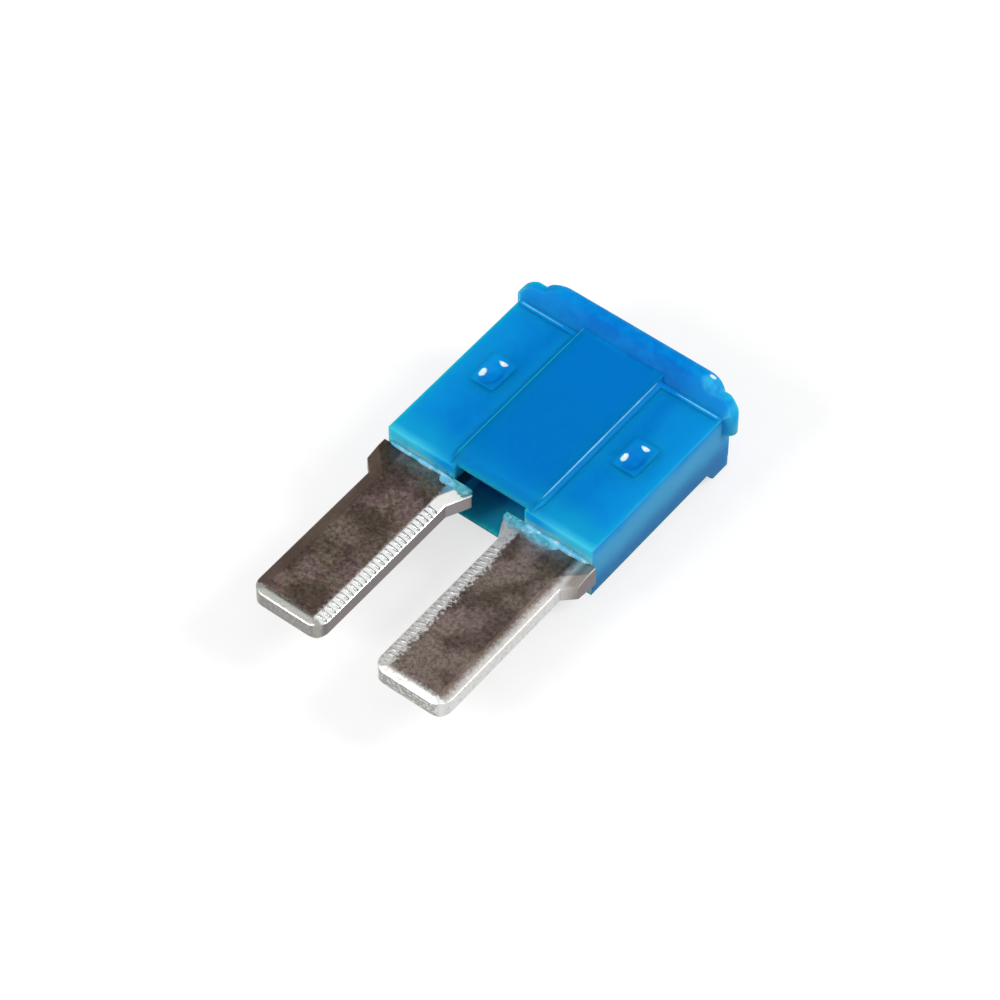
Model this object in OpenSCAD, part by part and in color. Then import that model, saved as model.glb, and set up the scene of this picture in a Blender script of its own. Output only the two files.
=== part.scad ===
// Small two-blade automotive fuse, lying on its back with its front face up.
// A moulded housing holds one stamped conductor: two blades, their shoulders,
// the plates inside the housing and the fusible link between them.
// The frame has X across the blades, Y from the blade tips to the head and Z up
// through the thickness. The origin is the middle of the footprint.

/* [Housing] */
// Width of the body across both blades
body_w = 8.2; // [8:0.1:8.8]
// Thickness of the body beside its centre panel
body_t = 2.24; // [2.1:0.02:2.8]
// Length of the housing, from its blade end to the top of the crown
housing_len = 8.04; // [7.8:0.1:10]
// Thickness of the side walls beside the plates
side_wall = 0.42; // [0.3:0.01:0.48]
// Thickness of the wall over the link
link_wall = 0.32; // [0.22:0.01:0.4]

/* [Centre panel] */
// Width of the raised panel over the link
panel_w = 3.24; // [3.1:0.02:4]
// Height of the panel above the body
panel_rise = 0.2; // [0.1:0.02:0.4]
// Distance from the blade end to where the panel reaches its full height
panel_start = 0.55; // [0.4:0.05:1]
// How far the front wall stands back from the blade end, at the slot
slot_setback = 0.16; // [0.05:0.01:0.3]
// Width of the slot between the two blade pockets
slot_w = 2.84; // [2.6:0.02:2.96]

/* [Head] */
// Reach of the head in front of the middle plane
head_front = 1.7; // [1.55:0.05:2]
// Reach of the head behind the middle plane
head_back = 1.9; // [1.65:0.05:2.2]
// Distance from the top down to where the front begins to flare
front_flare = 1.2; // [1.1:0.01:1.6]
// Distance from the top down to where the back has its full reach
back_knee = 0.7; // [0.6:0.05:1.2]
// Radius of the flare on the back
back_round = 1.2; // [1.2:0.1:2.4]
// Radius of the nose along the top edges
nose_r = 0.4; // [0.2:0.01:0.45]
// Radius of the edges at the two ends of the head
end_r = 0.4; // [0.15:0.05:0.6]
// Width of the crown above the ears
crown_w = 7.8; // [7.2:0.02:7.9]
// Radius of the two corners of the crown
crown_r = 1.1; // [0.4:0.05:1.2]
// Radius of the front edge at each end of the crown
crown_edge = 1.05; // [0.3:0.05:1.4]
// How far an ear stands out past the side of the body
ear_reach = 0.32; // [0.28:0.01:0.5]
// Length over which an ear flares out from the side of the body
ear_flare = 0.39; // [0.36:0.01:0.6]
// Distance from the middle plane to the top of an ear
ear_rise = 1.5; // [1.2:0.05:1.7]
// Radius of the outer edge of an ear
ear_edge = 0.65; // [0.2:0.05:0.8]
// Distance from the middle plane to the back of an ear
ear_lift = 0.28; // [0:0.01:0.4]
// Radius of the corner of an ear
ear_r = 0.26; // [0.1:0.02:0.34]
// How far the end of an ear falls back towards its corner
ear_drop = 0.1; // [0:0.02:0.3]
// Width of a test opening in the crown
probe_w = 1.5; // [1:0.1:1.7]
// Thickness of a test opening in the crown
probe_t = 0.9; // [0.7:0.05:1.2]

/* [Blades] */
// Width of a blade
blade_w = 2.8; // [2.5:0.05:2.9]
// Thickness of a blade
blade_t = 0.8; // [0.76:0.01:0.9]
// Length from the tips to the blade end of the housing
blade_len = 7.26; // [6:0.1:10]
// Distance between the middles of the two blades
blade_pitch = 4.9; // [4.8:0.05:5]
// Radius of the corners at a tip
tip_r = 0.5; // [0.2:0.05:0.8]
// Width of the coined bevel along the sides of a blade
coin_w = 0.42; // [0.2:0.02:0.5]
// Width of the coined bevel across its tip
tip_coin_w = 0.22; // [0.1:0.02:0.5]
// Depth of the coined bevels
coin_d = 0.12; // [0.08:0.01:0.25]

/* [Shoulders] */
// Straight length at the outer end of a shoulder
shoulder_h = 0.9; // [0.5:0.05:1]
// Length over which a blade widens to that outer end
shoulder_taper = 0.4; // [0.3:0.05:1]
// How far a shoulder stands out past the side of the body
shoulder_reach = 0.16; // [0:0.01:0.25]
// Straight length of the tooth at the inner end of a shoulder
shoulder_in_h = 0.08; // [0.02:0.02:0.3]
// Length over which a blade widens into that tooth
taper_in_h = 0.84; // [0.3:0.02:1.2]
// Distance from the middle to the inner end of a shoulder
shoulder_in = 0.64; // [0.5:0.02:0.9]

/* [Plates and link] */
// Thickness of the conductor inside the housing
plate_t = 0.7; // [0.6:0.01:0.74]
// Length of a plate inside the housing
plate_len = 6.2; // [5.8:0.1:6.4]
// Chamfer of the top corners of a plate
plate_chamfer = 0.35; // [0.1:0.05:0.6]
// Distance from the middle to the inner edge of a plate
plate_in = 1.5; // [1.5:0.02:1.7]
// Clearance round the plates in their pockets
pocket_gap = 0.04; // [0.02:0.01:0.08]
// Distance from the blade end to the feet of the link
link_foot = 1.9; // [1.6:0.1:2.4]
// Height of a link foot along the plate
link_foot_h = 0.7; // [0.4:0.05:0.9]
// Middle radius of the arch of the link
link_r = 0.82; // [0.7:0.02:0.9]
// Width of the link
link_w = 0.46; // [0.3:0.02:0.6]
// Thickness of the link
link_t = 0.3; // [0.15:0.01:0.5]
// Room in the cavity above the link
link_room = 0.9; // [0.5:0.1:1.2]
// Radius of the nick on each side of the middle of the link
nick_r = 0.1; // [0.04:0.01:0.13]

/* [Stakes] */
// Distance from the outer edge of a plate in to the middle of its stake
stake_inset = 0.77; // [0.7:0.01:0.9]
// Distance from the blade end to the middle of a stake
stake_y = 3.89; // [3.5:0.01:4.4]
// Width of the hole for a stake in a plate
stake_w = 0.9; // [0.8:0.02:1]
// Length of the hole for a stake in a plate
stake_len = 1.36; // [1.2:0.02:1.6]
// Clearance between a stake and its hole
stake_gap = 0.03; // [0.02:0.01:0.06]
// Width of the dimple under its chamfered rim
dimple_w = 0.66; // [0.5:0.02:0.76]
// Length of the dimple under its chamfered rim
dimple_len = 1.08; // [0.8:0.02:1.16]
// Width of the chamfered rim
dimple_rim = 0.1; // [0.04:0.01:0.14]
// Depth of the dimple
dimple_depth = 0.74; // [0.4:0.02:0.84]
// How far each wall of the dimple leans in
dimple_lean = 0.1; // [0.02:0.01:0.18]

/* [Hidden] */
$fn = 64;
overall_len = blade_len + housing_len;
body_half = body_w / 2;
body_face = body_t / 2;
panel_face = body_face + panel_rise;
cavity_face = panel_face - link_wall;
crown_top = overall_len;
flare_y = crown_top - front_flare;
ear_top = flare_y + ear_flare + ear_r + ear_drop;
ear_out = body_half + ear_reach;
shoulder_out = body_half + shoulder_reach;
plate_out = body_half - side_wall - pocket_gap;
plate_top = blade_len + plate_len;
link_y = blade_len + link_foot + link_foot_h;
cavity_top = link_y + link_r + link_w / 2 + link_room;
stake_x = plate_out - stake_inset;
stake_at = blade_len + stake_y;
probe_x = (plate_in + plate_out) / 2;
over = 1;

// Extrudes a profile drawn in X and Y from one height to another
module along_z(z0, z1) {
    translate([0, 0, z0]) linear_extrude(z1 - z0) children();
}

// Extrudes a profile drawn in Y and Z from one X to another
module along_x(x0, x1) {
    translate([x0, 0, 0]) rotate([90, 0, 90]) linear_extrude(x1 - x0) children();
}

// Extrudes a profile drawn in X and Z from one Y to another
module along_y(y0, y1) {
    translate([0, y1, 0]) rotate([90, 0, 0]) linear_extrude(y1 - y0) children();
}

// A rectangle between two corners
module corners(low, high) {
    translate(low) square(high - low);
}

// A rectangle between two corners, with all four corners rounded
module round_corners(low, high, r) {
    corners([low.x + r, low.y], [high.x - r, high.y]);
    corners([low.x, low.y + r], [high.x, high.y - r]);
    for (x = [low.x + r, high.x - r], y = [low.y + r, high.y - r])
        translate([x, y]) circle(r);
}

// A piece and its mirror image on the other side of the middle
module both_sides() {
    children();
    mirror([1, 0, 0]) children();
}

// Turns the front of the housing into its back
module on_back() {
    mirror([0, 0, 1]) children();
}

// Where a line from a point touches a circle, on its left or, with a negative
// radius, on its right
function touch(from, centre, r) =
    let (reach = centre - from)
    let (slope = atan2(reach.y, reach.x) + asin(r / norm(reach)))
    centre + r * [-sin(slope), cos(slope)];

// Side view of the head in front of the middle plane: a ramp that rises from
// the body and runs into the round nose
module front_profile() {
    start = [flare_y, body_face];
    nose = [crown_top - nose_r, head_front - nose_r];
    polygon([
        [start.x, -over / 2], start, touch(start, nose, nose_r), nose,
        [crown_top, nose.y], [crown_top, -over / 2]
    ]);
    translate(nose) circle(nose_r);
}

// Side view of the head behind the middle plane, drawn upside up: a round
// flare from the body, a flat stretch and the round nose
module back_profile() {
    knee = crown_top - back_knee;
    intersection() {
        translate([knee, head_back - back_round]) circle(back_round);
        corners([knee - back_round, -over / 2], [knee, head_back]);
    }
    corners([knee, -over / 2], [crown_top - nose_r, head_back]);
    corners([knee, -over / 2], [crown_top, head_back - nose_r]);
    translate([crown_top - nose_r, head_back - nose_r]) circle(nose_r);
}

// Plan of the crown, with its two round corners
module crown_plan() {
    half = crown_w / 2;
    centre = [half - crown_r, crown_top - crown_r];
    corners([-half, flare_y], [half, centre.y]);
    corners([-centre.x, flare_y], [centre.x, crown_top]);
    both_sides() translate(centre) circle(crown_r);
}

// The crown's own shape: its corners are turned, so that the round nose runs
// on round them
module crown_block() {
    centre = [crown_w / 2 - crown_r, crown_top - crown_r];
    along_z(-head_back, head_front) {
        corners([-body_half, flare_y - over], [body_half, ear_top]);
        corners([-centre.x, flare_y - over], [centre.x, crown_top]);
    }
    both_sides() translate(centre) rotate_extrude()
        intersection() {
            round_corners([-crown_r, -head_back], [crown_r, head_front], nose_r);
            corners([0, -head_back], [crown_r, head_front]);
        }
}

// The front of the head, a ramp as wide as the crown
module head_ramp() {
    intersection() {
        along_z(0, head_front) crown_plan();
        along_x(-body_half, body_half) front_profile();
        crown_block();
        along_y(flare_y, crown_top)
            round_corners([-crown_w / 2, -head_front], [crown_w / 2, head_front], crown_edge);
    }
}

// The back of the head, flared over the whole width of the body
module head_flare() {
    base = crown_top - back_knee - back_round;
    intersection() {
        along_z(-head_back, 0) {
            corners([-body_half, base], [body_half, ear_top - end_r]);
            round_corners([-body_half, base], [body_half, ear_top], end_r);
            crown_plan();
        }
        along_x(-body_half, body_half) mirror([0, 1]) back_profile();
        along_y(base, crown_top)
            round_corners([-body_half, -head_back], [body_half, head_back], end_r);
        union() {
            crown_block();
            along_z(-head_back, 0) corners([-body_half, base], [body_half, flare_y]);
        }
    }
}

// Plan of an ear: it flares from the side of the body to a round corner
module ear_plan() {
    start = [body_half, flare_y];
    root = [crown_w / 2, ear_top];
    corner = [ear_out - ear_r, ear_top - ear_drop - ear_r];
    polygon([
        [0, start.y], start, touch(start, corner, -ear_r), corner,
        touch(root, corner, ear_r), root, [0, ear_top]
    ]);
    translate(corner) circle(ear_r);
}

// The two small ears that carry the ramp of the head past the body's sides
module ears() {
    both_sides() intersection() {
        along_z(ear_lift, ear_rise) ear_plan();
        along_x(0, ear_out) front_profile();
        along_y(flare_y, ear_top)
            round_corners([-ear_out, -ear_rise], [ear_out, ear_rise], ear_edge);
    }
}

// The raised panel over the link, sloped at its blade end
module panel() {
    foot = blade_len + slot_setback;
    full = blade_len + panel_start;
    along_x(-panel_w / 2, panel_w / 2)
        polygon([
            [foot, 0], [foot, body_face], [full, panel_face],
            [ear_top, panel_face], [ear_top, 0]
        ]);
}

// Section of a dimple, from its floor up through the chamfered rim
module dimple_section(width) {
    for (side = [-1, 1])
        polygon([
            [0, 0], [side * (width / 2 - dimple_lean), 0],
            [side * width / 2, dimple_depth - dimple_rim],
            [side * (width / 2 + dimple_rim), dimple_depth],
            [side * (width / 2 + dimple_rim), dimple_depth + over],
            [0, dimple_depth + over]
        ]);
}

// A square dimple whose four walls lean in to its floor
module dimple() {
    translate([stake_x, stake_at, body_face - dimple_depth]) intersection() {
        along_y(-dimple_len, dimple_len) dimple_section(dimple_w);
        along_x(-dimple_len, dimple_len) dimple_section(dimple_len);
    }
}

// The space for the conductor: two flat pockets, the thicker cavity round the
// link and the test openings above the plates
module cavity() {
    pocket_z = plate_t / 2 + pocket_gap;
    pocket_x = plate_out + pocket_gap;
    along_z(-pocket_z, pocket_z)
        corners([-pocket_x, blade_len - over], [pocket_x, plate_top + pocket_gap]);
    along_z(-cavity_face, cavity_face)
        corners([-slot_w / 2, blade_len - over], [slot_w / 2, cavity_top]);
    along_z(0, panel_face + over)
        corners([-slot_w / 2, blade_len - over], [slot_w / 2, blade_len + slot_setback]);
    both_sides() along_y(plate_top, crown_top + over)
        translate([probe_x, 0]) square([probe_w, probe_t], center = true);
}

// Plastic pressed from both faces into the hole of a plate
module stake() {
    half_w = stake_w / 2 - stake_gap;
    half_len = stake_len / 2 - stake_gap;
    along_z(-body_face / 2, body_face / 2)
        corners([stake_x - half_w, stake_at - half_len], [stake_x + half_w, stake_at + half_len]);
}

module housing() {
    color("#1487d6") at_rest() {
        difference() {
            union() {
                along_z(-body_face, body_face)
                    corners([-body_half, blade_len], [body_half, ear_top - ear_r]);
                panel();
                on_back() panel();
                head_ramp();
                head_flare();
                ears();
            }
            cavity();
            both_sides() dimple();
            on_back() both_sides() dimple();
        }
        both_sides() difference() {
            stake();
            dimple();
            on_back() dimple();
        }
    }
}

// A long wedge with its bevelled edge on the line between two points, used to
// coin that edge on both faces
module coin(from, to, width) {
    face = blade_t / 2;
    edge = face - coin_d;
    run = to - from;
    reach = blade_len + blade_pitch;
    translate(from) rotate(atan2(run.y, run.x))
        along_x(-reach, reach)
            polygon([
                [0, -edge], [width, -face], [reach, -face],
                [reach, face], [width, face], [0, edge]
            ]);
}

// A blade with its shoulder. The edges are coined round the blade and along
// the tapers, and stay square beside the housing
module blade() {
    x0 = (blade_pitch - blade_w) / 2;
    x1 = x0 + blade_w;
    inner = [
        [shoulder_in, blade_len - shoulder_in_h],
        [x0, blade_len - shoulder_in_h - taper_in_h]
    ];
    outer = [
        [x1, blade_len - shoulder_h - shoulder_taper],
        [shoulder_out, blade_len - shoulder_h]
    ];
    intersection() {
        along_z(-blade_t / 2, blade_t / 2) intersection() {
            round_corners([x0, 0], [x1, blade_len + tip_r], tip_r);
            corners([x0, 0], [x1, blade_len]);
        }
        coin([x0, blade_len], [x0, 0], coin_w);
        coin([x0, 0], [x1, 0], tip_coin_w);
        coin([x1, 0], [x1, blade_len], coin_w);
    }
    intersection() {
        along_z(-blade_t / 2, blade_t / 2) shoulder_plan(inner, outer);
        coin(inner[0], inner[1], coin_w);
        coin(outer[0], outer[1], coin_w);
    }
}

// Plan of a shoulder between its two tapers
module shoulder_plan(inner, outer) {
    ends = [[shoulder_out, blade_len], [shoulder_in, blade_len]];
    polygon(concat(inner, outer, ends));
}

// A plate inside the housing, with the hole for its stake
module plate() {
    along_z(-plate_t / 2, plate_t / 2) difference() {
        polygon([
            [plate_in, blade_len], [plate_in, plate_top - plate_chamfer],
            [plate_in + plate_chamfer, plate_top], [plate_out - plate_chamfer, plate_top],
            [plate_out, plate_top - plate_chamfer], [plate_out, blade_len]
        ]);
        translate([stake_x, stake_at]) square([stake_w, stake_len], center = true);
    }
}

// The fusible link: an arch between the plates, with a nick at its middle
module link() {
    outer = link_r + link_w / 2;
    inner = link_r - link_w / 2;
    foot = link_y - link_foot_h;
    along_z(-link_t / 2, link_t / 2) difference() {
        union() {
            intersection() {
                translate([0, link_y]) circle(outer);
                corners([-outer, link_y], [outer, link_y + outer]);
            }
            both_sides() corners([inner, foot], [plate_in, link_y]);
        }
        translate([0, link_y]) circle(inner);
        for (y = [link_y + inner, link_y + outer]) translate([0, y]) circle(nick_r);
    }
}

module conductor() {
    color("#b9bcbd") at_rest() {
        both_sides() {
            blade();
            plate();
        }
        link();
    }
}

// Lays the fuse on its back, with the middle of its footprint at the origin
module at_rest() {
    translate([0, -overall_len / 2, head_back]) children();
}

housing();
conductor();
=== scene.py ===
import math

import bmesh
import bpy
from mathutils import Matrix, Vector, noise


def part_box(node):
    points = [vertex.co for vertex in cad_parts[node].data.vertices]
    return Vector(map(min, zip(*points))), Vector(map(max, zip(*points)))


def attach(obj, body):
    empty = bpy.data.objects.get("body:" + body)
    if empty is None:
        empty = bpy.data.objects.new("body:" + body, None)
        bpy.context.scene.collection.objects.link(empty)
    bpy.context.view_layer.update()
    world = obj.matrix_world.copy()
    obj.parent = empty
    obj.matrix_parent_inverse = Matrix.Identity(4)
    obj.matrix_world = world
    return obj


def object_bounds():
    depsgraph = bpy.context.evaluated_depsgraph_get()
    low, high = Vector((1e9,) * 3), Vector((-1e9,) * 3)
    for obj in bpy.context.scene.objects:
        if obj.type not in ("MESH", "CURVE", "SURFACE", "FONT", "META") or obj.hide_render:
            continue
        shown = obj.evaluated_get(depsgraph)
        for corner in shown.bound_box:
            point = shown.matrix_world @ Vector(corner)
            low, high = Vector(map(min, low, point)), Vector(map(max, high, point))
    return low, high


bl_info = {
    "name": "Blade fuse",
    "version": (1, 0, 0),
    "blender": (4, 5, 0),
    "location": "3D View > Sidebar > Blade fuse",
    "description": "Dresses a small automotive blade fuse and its studio",
    "category": "Object",
}

MM = 0.001
WELD_DISTANCE = 0.0005 * MM

# Angles in degrees: edges of the solids that get rounded, edges of the trim that stay sharp,
# and the bearing and height of what stands round the part
ROUNDED_ABOVE = 28
SHARP_ABOVE = 50
LAMPS = {"Right lamp": (130, 38), "Front lamp": (-22, 34)}
CLOTH = (221, 50)

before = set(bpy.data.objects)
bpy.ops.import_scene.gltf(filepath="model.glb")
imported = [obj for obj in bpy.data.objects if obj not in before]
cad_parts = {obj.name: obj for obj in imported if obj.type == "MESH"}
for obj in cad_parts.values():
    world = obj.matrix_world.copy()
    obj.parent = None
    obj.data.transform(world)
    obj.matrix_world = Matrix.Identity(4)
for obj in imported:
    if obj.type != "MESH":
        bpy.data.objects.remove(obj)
cad_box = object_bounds()


# Shader graphs


class Graph:
    """Places shader nodes in a tree and links them by the names of their sockets."""

    def __init__(self, tree):
        self.tree = tree

    def node(self, kind, inputs=None, **settings):
        """Adds a node, sets its properties and feeds its inputs."""
        made = self.tree.nodes.new("ShaderNode" + kind)
        for name, value in settings.items():
            setattr(made, name, value)
        for name, value in (inputs or {}).items():
            self.feed(made.inputs[name], value)
        return made

    def feed(self, socket, value):
        """Links a socket into another one, or sets it to a value."""
        if isinstance(value, bpy.types.NodeSocket):
            self.tree.links.new(value, socket)
        else:
            socket.default_value = value

    def math(self, operation, a, b=0.0, c=0.0):
        """One number from two or three."""
        return self.node("Math", {0: a, 1: b, 2: c}, operation=operation).outputs[0]

    def most(self, *values):
        """The largest of several numbers."""
        found = values[0]
        for value in values[1:]:
            found = self.math("MAXIMUM", found, value)
        return found

    def times(self, *values):
        """The product of several numbers."""
        found = values[0]
        for value in values[1:]:
            found = self.math("MULTIPLY", found, value)
        return found

    def drift(self, value, reach):
        """Noise from 0 to 1 turned into a shift of up to half of reach either way."""
        return self.math("MULTIPLY_ADD", value, reach, -reach / 2)

    def step(self, value, low, high, to_low=0.0, to_high=1.0):
        """A smooth rise from to_low to to_high while value goes from low to high; places are in mm."""
        made = self.node(
            "MapRange",
            {"Value": value, "From Min": low, "From Max": high, "To Min": to_low, "To Max": to_high},
            interpolation_type="SMOOTHSTEP",
        )
        return made.outputs["Result"]

    def mix(self, factor, a, b):
        """A colour between two."""
        made = self.node("Mix", {0: factor, 6: a, 7: b}, data_type="RGBA")
        return made.outputs[2]

    def blend(self, factor, a, b):
        """A number between two."""
        return self.node("Mix", {0: factor, 2: a, 3: b}, data_type="FLOAT").outputs[0]

    def rest(self, value):
        """What is left of 1."""
        return self.math("SUBTRACT", 1.0, value)

    def tinge(self, colour, other, mask, share):
        """A colour that turns into another one where the mask is, by a share of it."""
        return self.mix(self.math("MULTIPLY", mask, share), colour, other)

    def spot(self, u, v, middle, radii, full=0.5, gone=1.3):
        """An oval spot in two coordinates; full and gone are shares of its radii, squared."""
        a = self.math("DIVIDE", self.math("SUBTRACT", u, middle[0]), radii[0])
        b = self.math("DIVIDE", self.math("SUBTRACT", v, middle[1]), radii[1])
        return self.step(self.math("ADD", self.times(a, a), self.times(b, b)), gone, full)

    def rounded(self, radius):
        """A normal that looks round along the edges."""
        return self.node("Bevel", {"Radius": radius}, samples=8).outputs[0]

    def bump(self, height, strength, distance, normal=None):
        """A normal with bumps as high as a distance in millimetres."""
        inputs = {"Strength": strength, "Distance": distance * MM, "Height": height}
        if normal is not None:
            inputs["Normal"] = normal
        return self.node("Bump", inputs).outputs[0]

    def noise(self, place, scale, detail=3.0, roughness=0.5, distortion=0.0):
        """Noise from 0 to 1 at a place in millimetres."""
        made = self.node(
            "TexNoise",
            {
                "Vector": place,
                "Scale": scale,
                "Detail": detail,
                "Roughness": roughness,
                "Distortion": distortion,
            },
        )
        return made.outputs["Fac"]


def new_group(name, inputs, outputs):
    """An empty node group with float sockets, its graph and its two end nodes."""
    tree = bpy.data.node_groups.new(name, "ShaderNodeTree")
    for title, value in inputs:
        socket = tree.interface.new_socket(title, in_out="INPUT", socket_type="NodeSocketFloat")
        socket.default_value = value
    for title in outputs:
        kind = "NodeSocketVector" if title == "Place" else "NodeSocketFloat"
        tree.interface.new_socket(title, in_out="OUTPUT", socket_type=kind)
    start = tree.nodes.new("NodeGroupInput")
    end = tree.nodes.new("NodeGroupOutput")
    return Graph(tree), start, end


def in_millimetres(graph):
    """The place of a point on its object, in millimetres."""
    coords = graph.node("TexCoord").outputs["Object"]
    return graph.node("VectorMath", {0: coords, "Scale": 1 / MM}, operation="SCALE").outputs[0]


def place_group():
    """Where a point is, in millimetres, and which way its surface faces."""
    name = "Place in millimetres"
    if name in bpy.data.node_groups:
        return bpy.data.node_groups[name]
    titles = ["Place", "Across", "Side", "Along", "Height", "Facing end", "Facing side"]
    graph, _, end = new_group(name, [], titles)
    place = in_millimetres(graph)
    parts = graph.node("SeparateXYZ", {0: place}).outputs
    normal = graph.node("TexCoord").outputs["Normal"]
    facing = graph.node("SeparateXYZ", {0: normal}).outputs
    found = {
        "Place": place,
        "Across": parts["X"],
        "Side": graph.math("ABSOLUTE", parts["X"]),
        "Along": parts["Y"],
        "Height": parts["Z"],
        "Facing end": graph.math("MULTIPLY", facing["Y"], -1.0),
        "Facing side": graph.math("ABSOLUTE", facing["X"]),
    }
    for title in titles:
        graph.feed(end.inputs[title], found[title])
    return graph.tree


def edge_group():
    """How near a point is to a sharp edge, broken up by noise."""
    name = "Edge wear"
    if name in bpy.data.node_groups:
        return bpy.data.node_groups[name]
    inputs = [("Reach", 0.1), ("Breakup scale", 3.0), ("Breakup", 0.5)]
    graph, start, end = new_group(name, inputs, ["Wear"])
    reach = graph.math("MULTIPLY", start.outputs["Reach"], MM)
    soft = graph.node("Bevel", {"Radius": reach}, samples=6).outputs["Normal"]
    flat = graph.node("NewGeometry").outputs["True Normal"]
    turn = graph.node("VectorMath", {0: soft, 1: flat}, operation="DOT_PRODUCT").outputs["Value"]
    near = graph.step(turn, 0.995, 0.86)
    patch = graph.noise(in_millimetres(graph), start.outputs["Breakup scale"], detail=4.0, roughness=0.6)
    patch = graph.step(patch, 0.35, 0.6)
    kept = graph.blend(start.outputs["Breakup"], 1.0, patch)
    graph.feed(end.inputs["Wear"], graph.math("MULTIPLY", near, kept))
    return graph.tree


def grain_group():
    """Fine grain: a value for colour and roughness, and a height for a bump."""
    name = "Fine grain"
    if name in bpy.data.node_groups:
        return bpy.data.node_groups[name]
    graph, start, end = new_group(name, [("Scale", 10.0)], ["Value", "Height"])
    place = in_millimetres(graph)
    finer = graph.math("MULTIPLY", start.outputs["Scale"], 3.1)
    coarse = graph.noise(place, start.outputs["Scale"], detail=5.0, roughness=0.65)
    fine = graph.noise(place, finer, roughness=0.6)
    graph.feed(end.inputs["Value"], graph.step(coarse, 0.3, 0.7))
    graph.feed(end.inputs["Height"], graph.blend(0.35, coarse, fine))
    return graph.tree


def add_group(graph, tree, inputs=None):
    """Places a node group in a material, with that material's own values."""
    made = graph.node("Group", node_tree=tree)
    for name, value in (inputs or {}).items():
        graph.feed(made.inputs[name], value)
    return made


def new_material(name):
    """A material with an empty tree, its graph and its surface socket."""
    made = bpy.data.materials.new(name)
    made.use_nodes = True
    made.node_tree.nodes.clear()
    graph = Graph(made.node_tree)
    output = graph.node("OutputMaterial")
    return made, graph, output.inputs["Surface"]


def moulded_front(graph, settings, place, mottle, drift):
    """Deep blue over the link; paler over the plates and in patches on the ramp; painted light beside the
    panel.
    """
    side, along = place["Side"], place["Along"]
    panel, foot = settings.panel_side / MM, settings.foot_along / MM
    over_plates = graph.step(graph.math("ADD", drift, side), 1.5, 3.7)
    colour = graph.mix(over_plates, settings.deep, settings.side)
    ramp = graph.times(graph.step(along, foot - 0.05, foot + 0.15), graph.step(mottle, 0.4, 0.62))
    colour = graph.tinge(colour, settings.side, ramp, share=0.6)
    # Painted light: a paler strip beside the panel's sides lifts the shade that falls in the corners there.
    strip = graph.times(
        graph.step(side, panel - 0.02, panel + 0.02),
        graph.step(side, panel + 0.78, panel + 0.13),
        graph.step(along, foot + 0.05, foot - 0.15),
    )
    return graph.tinge(colour, settings.side, strip, share=0.75)


def moulded_end(graph, settings, place, colour, mottle, drift):
    """Milky toward the outer edges; thin and pale at the rim; paler on the end face from thin plastic and
    painted light; painted light in the mouth.
    """
    side, along, height = place["Side"], place["Along"], place["Height"]
    body, gap, top = settings.body_side / MM, settings.mouth_side / MM, settings.body_top / MM
    milky_end = graph.step(graph.math("MULTIPLY_ADD", drift, 0.35, along), 1.1, -0.1)
    milky_end = graph.times(milky_end, graph.step(side, 1.0, 3.0, to_low=0.25))
    milky_side = graph.math("MULTIPLY_ADD", drift, 0.2, side)
    milky_side = graph.step(milky_side, body - 0.8, body, to_high=0.4)
    milky_side = graph.times(milky_side, graph.step(along, 5.5, 0.5, to_low=0.3))
    colour = graph.mix(graph.most(milky_end, milky_side), colour, settings.cloudy)

    rim = graph.step(along, settings.thin_to / MM, settings.thin_from / MM)
    rim = graph.times(rim, graph.step(side, 1.6, 3.2, to_low=0.15, to_high=0.85))
    colour = graph.mix(rim, colour, settings.thin)
    # Painted light: the end face, which looks toward the front lamp, is paler, partly from its thin plastic.
    end_face = graph.times(graph.step(place["Facing end"], 0.45, 0.85), graph.step(along, 0.4, 0.1))
    face_colour = graph.mix(graph.step(side, 1.8, 3.0), settings.side, settings.thin)
    colour = graph.mix(end_face, colour, face_colour)
    # Painted highlight: a pale mottled line along the lip at the foot of the end face.
    lip = graph.times(end_face, graph.step(height, 2.75, 2.4), graph.step(mottle, 0.25, 0.55))
    colour = graph.tinge(colour, settings.pale, lip, share=0.75)

    # Painted light: the mouth between the blades is lifted paler against the shade inside it.
    mouth = graph.times(
        graph.step(side, gap, gap - 0.06),
        graph.step(along, 1.2, 0.5),
        graph.step(height, top - 0.04, top - 0.12),
    )
    return graph.mix(mouth, colour, settings.mouth)


def moulded_sides(graph, settings, place, colour, mottle, drift):
    """Side faces painted darker low and paler high as shade and light fall on them, a cloud on the right of
    the head, and thin ears.
    """
    side, along, height = place["Side"], place["Along"], place["Height"]
    body, foot, top = settings.body_side / MM, settings.foot_along / MM, settings.body_top / MM
    flank = graph.step(place["Facing side"], 0.6, 0.9)
    flank = graph.times(flank, graph.step(side, body - 0.2, body - 0.05))
    # Painted light and shade: the side faces darken toward the floor and pale toward the top.
    level = graph.math("MULTIPLY_ADD", drift, 0.16, height)
    flank_colour = graph.mix(graph.step(level, 1.0, 2.2), settings.flank_low, settings.flank_high)
    flank_colour = graph.mix(graph.step(level, 2.45, 3.0), flank_colour, settings.side)
    colour = graph.mix(flank, colour, flank_colour)
    cloud = graph.times(
        graph.spot(place["Across"], along, (body - 0.7, foot + 0.65), (0.6, 0.3)),
        graph.step(mottle, 0.35, 0.6, to_low=0.2, to_high=0.7),
        graph.step(height, top + 0.08, top + 0.18),
    )
    colour = graph.mix(cloud, colour, settings.thin)
    ear = graph.times(
        graph.step(side, body - 0.1, body + 0.25),
        graph.step(along, foot - 0.55, foot - 0.05),
        graph.step(place["Facing side"], 0.6, 0.95, to_low=0.75, to_high=0.3),
    )
    return graph.mix(ear, colour, settings.thin)


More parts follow.
